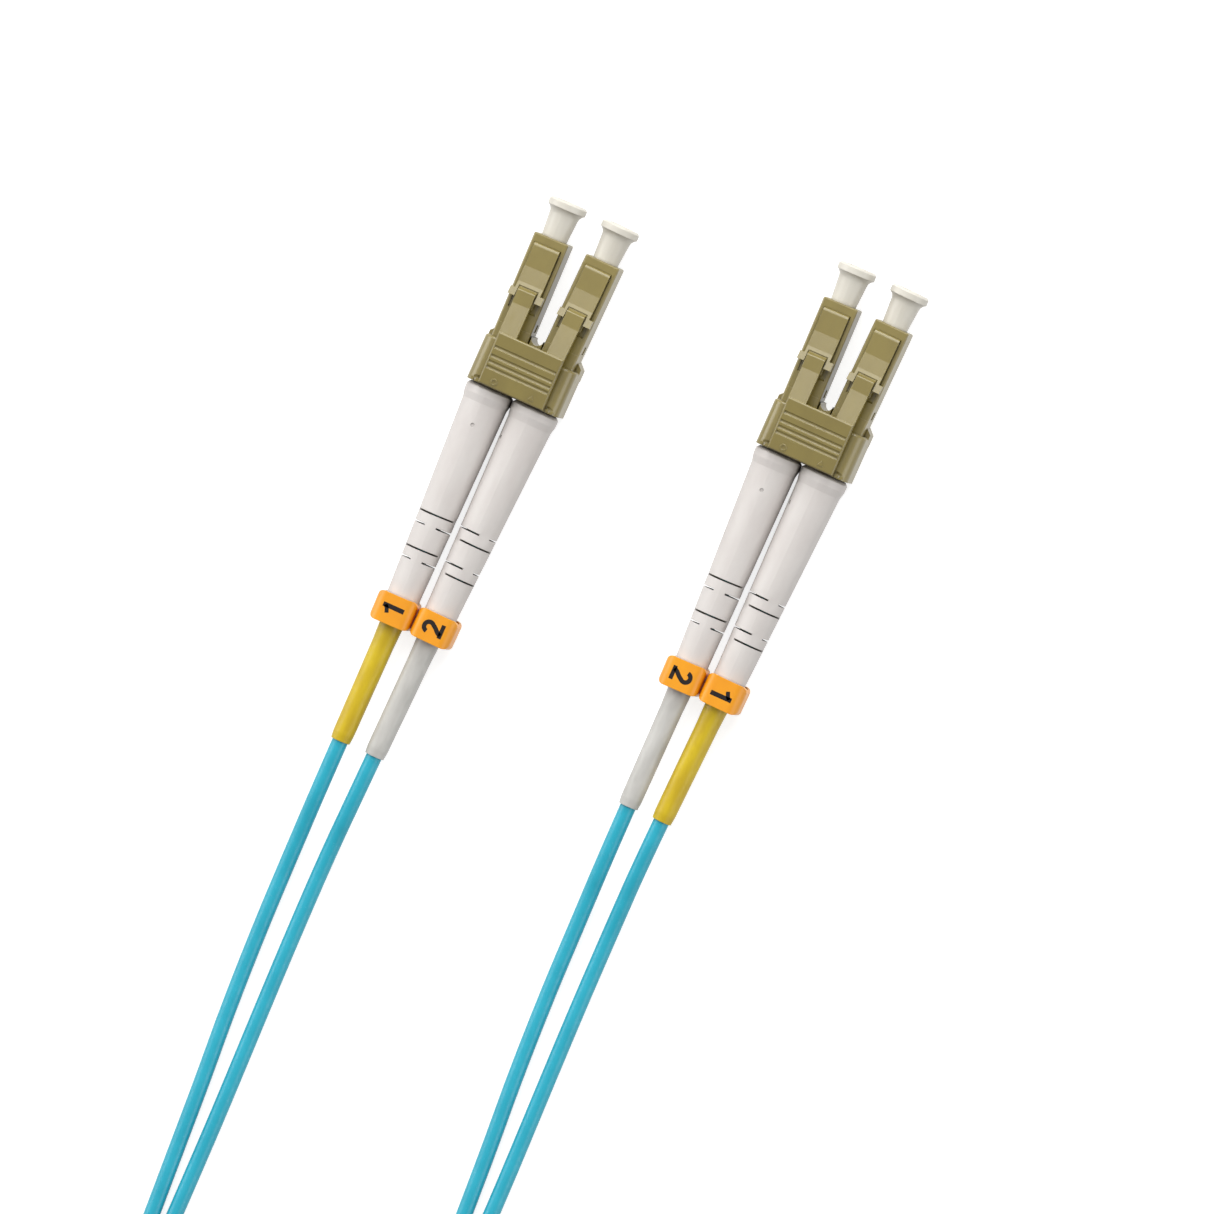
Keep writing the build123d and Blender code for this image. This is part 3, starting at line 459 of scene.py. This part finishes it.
def cable_jacket():
    """Extruded jacket: satin, with faint mottling, fine drag lines, dust, and painted shade where it runs inside
    or against other parts.
    """
    surface = Surface("aqua_jacket", 0.38)
    mottle = surface.span(surface.noise(3.2 * mm, 3), 0.35, 0.65, 0, 1)
    dust = surface.span(surface.noise(0.22 * mm, 2), 0.66, 0.74, 0, 0.28)
    tone = surface.blend(mottle, srgb(18, 156, 179), srgb(28, 163, 186))
    jacket_shade_mask = surface.painted_shade_mask(0.6 * mm)
    # painted shade: dark olive where the jacket is occluded, inside the boots and sleeves and at contacts
    surface.colour(surface.blend(jacket_shade_mask, srgb(44, 38, 10), surface.blend(dust, tone, srgb(110, 188, 202))))
    surface.roughness(surface.span(surface.noise(0.5 * mm, 3), 0.3, 0.7, 0.32, 0.48))
    surface.bump(surface.noise(0.3 * mm, 2), 0.006 * mm)
    return surface.material


def metal(name, base, dark, roughness):
    """Plated metal with fine turning marks, a little tarnish and a painted highlight on its edges."""
    surface = Surface(name, roughness, Metallic=1.0)
    edge = surface.soften(0.03 * mm)
    tarnish = surface.span(surface.noise(0.8 * mm, 4), 0.4, 0.7, 0, 1)
    # painted highlight: the edges turn a pale metal colour
    surface.colour(surface.blend(edge, surface.blend(tarnish, base, dark), srgb(225, 222, 215)))
    turning = surface.noise(0.3 * mm, 3, (1, 8, 1))
    surface.roughness(surface.span(turning, 0.3, 0.7, roughness - 0.06, roughness + 0.1))
    surface.bump(surface.noise(0.12 * mm, 2, (1, 10, 1)), 0.002 * mm)
    return surface.material


def tie_fabric():
    """Hook-and-loop strap: a nap of tiny loops over a woven ground, with a painted highlight on the loop tops and
    painted shade in the ground between them.
    """
    surface = Surface("tie_fabric", 0.92, Sheen_Weight=0.35, Sheen_Roughness=0.5)
    loops = surface.node("ShaderNodeTexVoronoi")
    loops.inputs["Scale"].default_value = 1 / (0.42 * mm)
    surface.join(surface.place, loops.inputs["Vector"])
    nap = surface.span(loops.outputs["Distance"], 0.1, 0.7, 1, 0)
    wear = surface.span(surface.noise(2.0 * mm, 4), 0.35, 0.7, 0, 1)
    # painted light and shade: the loop tops lighter, the ground between them darker, following the bump
    ground = surface.blend(nap, srgb(18, 18, 20), srgb(52, 52, 56))
    surface.colour(surface.blend(wear, ground, srgb(36, 36, 39)))
    surface.roughness(surface.span(nap, 0, 1, 0.98, 0.82))
    surface.bump(nap, 0.12 * mm)
    surface.bump(surface.noise(0.09 * mm, 3), 0.03 * mm)
    return surface.material


def printed_ink():
    """Pad-printed ink, thin at its edges and slightly mottled."""
    surface = Surface("digit_ink", 0.5, Specular_IOR_Level=0.25)
    speckle = surface.span(surface.noise(0.14 * mm, 3), 0.55, 0.75, 0, 1)
    surface.colour(surface.blend(speckle, srgb(12, 6, 4), srgb(34, 18, 8)))
    surface.roughness(surface.span(speckle, 0, 1, 0.42, 0.6))
    surface.bump(surface.noise(0.1 * mm, 2), 0.003 * mm)
    return surface.material


# in each moulded call the third colour is the rubbed edge with its painted highlight, and the fourth is the
# painted shade in crevices
by_slot = {
    "beige_plastic": moulded(
        "beige_plastic", srgb(121, 107, 45), srgb(114, 100, 40), srgb(166, 153, 98), srgb(62, 51, 17), 0.34,
        Specular_IOR_Level=0.8,
    ),
    "cap_plastic": moulded(
        "cap_plastic", srgb(205, 201, 190), srgb(199, 194, 182), srgb(228, 225, 217), srgb(146, 138, 122), 0.42
    ),
    "boot_white": moulded(
        "boot_rubber", srgb(206, 201, 197), srgb(200, 194, 190), srgb(220, 216, 212), srgb(50, 42, 22), 0.55,
        0.09 * mm, 0.007 * mm,
    ),
    "ring_plastic": moulded(
        "ring_plastic", srgb(228, 150, 2), srgb(221, 141, 2), srgb(245, 188, 36), srgb(186, 74, 2), 0.4,
        0.2 * mm, 0.002 * mm,
    ),
    "zirconia": moulded(
        "zirconia", srgb(238, 236, 230), srgb(233, 230, 223), srgb(245, 244, 240), srgb(180, 176, 166), 0.16
    ),
    "metal": metal("plated_metal", srgb(190, 186, 178), srgb(150, 144, 134), 0.3),
    # in each shrink_sleeve call the second colour is the painted shade in the hollows, and the third is the
    # painted edge highlight
    "sleeve_yellow": shrink_sleeve("sleeve_yellow", srgb(201, 174, 2), srgb(186, 157, 1), srgb(222, 200, 54)),
    "sleeve_white": shrink_sleeve("sleeve_white", srgb(192, 190, 185), srgb(178, 176, 171), srgb(212, 210, 206)),
    "cable_jacket": cable_jacket(),
    "fiber_buffer": moulded(
        "fiber_buffer", srgb(228, 230, 232), srgb(220, 222, 225), srgb(238, 239, 240), srgb(170, 172, 175), 0.4
    ),
    "tie_fabric": tie_fabric(),
}
for node, obj in frame["nodes"].items():
    obj.data.materials.clear()
    obj.data.materials.append(by_slot[slots[node]])
for obj in legs + [zipcord]:
    obj.data.materials.append(by_slot["cable_jacket"])
for spring in springs:
    spring.data.materials.clear()
    spring.data.materials.append(by_slot["metal"])
ink = printed_ink()
for obj in digits:
    obj.data.materials.append(ink)


# ---------------------------------------------------------------- floor and light
floor_drop = 0.02 * mm
floor_glow = 0.76  # what the eye sees of the floor beyond the light that falls on it
sky_light = 0.26  # the world's share of the light on the object; the eye sees it as white


def seen_by_eye(tree):
    """1 for rays from the camera, a reflection or a transmission, and 0 for the light itself."""
    path = tree.nodes.new("ShaderNodeLightPath")
    either = tree.nodes.new("ShaderNodeMath")
    either.operation = "MAXIMUM"
    tree.links.new(path.outputs["Is Camera Ray"], either.inputs[0])
    tree.links.new(path.outputs["Is Glossy Ray"], either.inputs[1])
    any_of = tree.nodes.new("ShaderNodeMath")
    any_of.operation = "MAXIMUM"
    tree.links.new(either.outputs[0], any_of.inputs[0])
    tree.links.new(path.outputs["Is Transmission Ray"], any_of.inputs[1])
    return any_of.outputs[0]


def scaled(tree, factor, low, high):
    made = tree.nodes.new("ShaderNodeMapRange")
    made.inputs["To Min"].default_value = low
    made.inputs["To Max"].default_value = high
    tree.links.new(factor, made.inputs["Value"])
    return made.outputs["Result"]


floor_data = bpy.data.meshes.new("floor")
floor_data.from_pydata([(-3, -3, 0), (3, -3, 0), (3, 3, 0), (-3, 3, 0)], [], [(0, 1, 2, 3)])
floor = link(bpy.data.objects.new("floor", floor_data))
floor.location.z = -floor_drop
paper = bpy.data.materials.new("floor")
paper.use_nodes = True
paper_shader = paper.node_tree.nodes["Principled BSDF"]
paper_shader.inputs["Base Color"].default_value = (0.5, 0.5, 0.5, 1)
paper_shader.inputs["Roughness"].default_value = 0.9
paper_shader.inputs["Specular IOR Level"].default_value = 0.1
paper_shader.inputs["Emission Color"].default_value = (1, 1, 1, 1)
paper.node_tree.links.new(
    scaled(paper.node_tree, seen_by_eye(paper.node_tree), 0, floor_glow), paper_shader.inputs["Emission Strength"]
)
floor_data.materials.append(paper)

world = bpy.data.worlds.new("world")
scene.world = world
world.use_nodes = True
background = world.node_tree.nodes["Background"]
background.inputs["Color"].default_value = (1, 1, 1, 1)
world.node_tree.links.new(
    scaled(world.node_tree, seen_by_eye(world.node_tree), sky_light, 1), background.inputs["Strength"]
)


def softbox(name, azimuth, elevation, width, height, radiance):
    """A soft light a metre away. Azimuth is degrees from +Y towards -X, width and height degrees of view."""
    reach = 1.0
    across = 2 * reach * tan(radians(width) / 2)
    tall = 2 * reach * tan(radians(height) / 2)
    data = bpy.data.lights.new(name, "AREA")
    data.shape = "RECTANGLE"
    data.size = across
    data.size_y = tall
    data.energy = radiance * pi * across * tall
    toward = Vector((
        -sin(radians(azimuth)) * cos(radians(elevation)),
        cos(radians(azimuth)) * cos(radians(elevation)),
        sin(radians(elevation)),
    ))
    lamp = link(bpy.data.objects.new(name, data))
    lamp.location = target + toward * reach
    lamp.rotation_mode = "QUATERNION"
    lamp.rotation_quaternion = toward.to_track_quat("Z", "Y")


softbox("front_low", 10, 22, 44, 30, 5.2)
softbox("front_high", 15, 56, 48, 36, 3.3)
softbox("left", 84, 22, 40, 36, 3.6)
softbox("right", -88, 26, 40, 36, 2.2)

scene.view_settings.view_transform = "Standard"
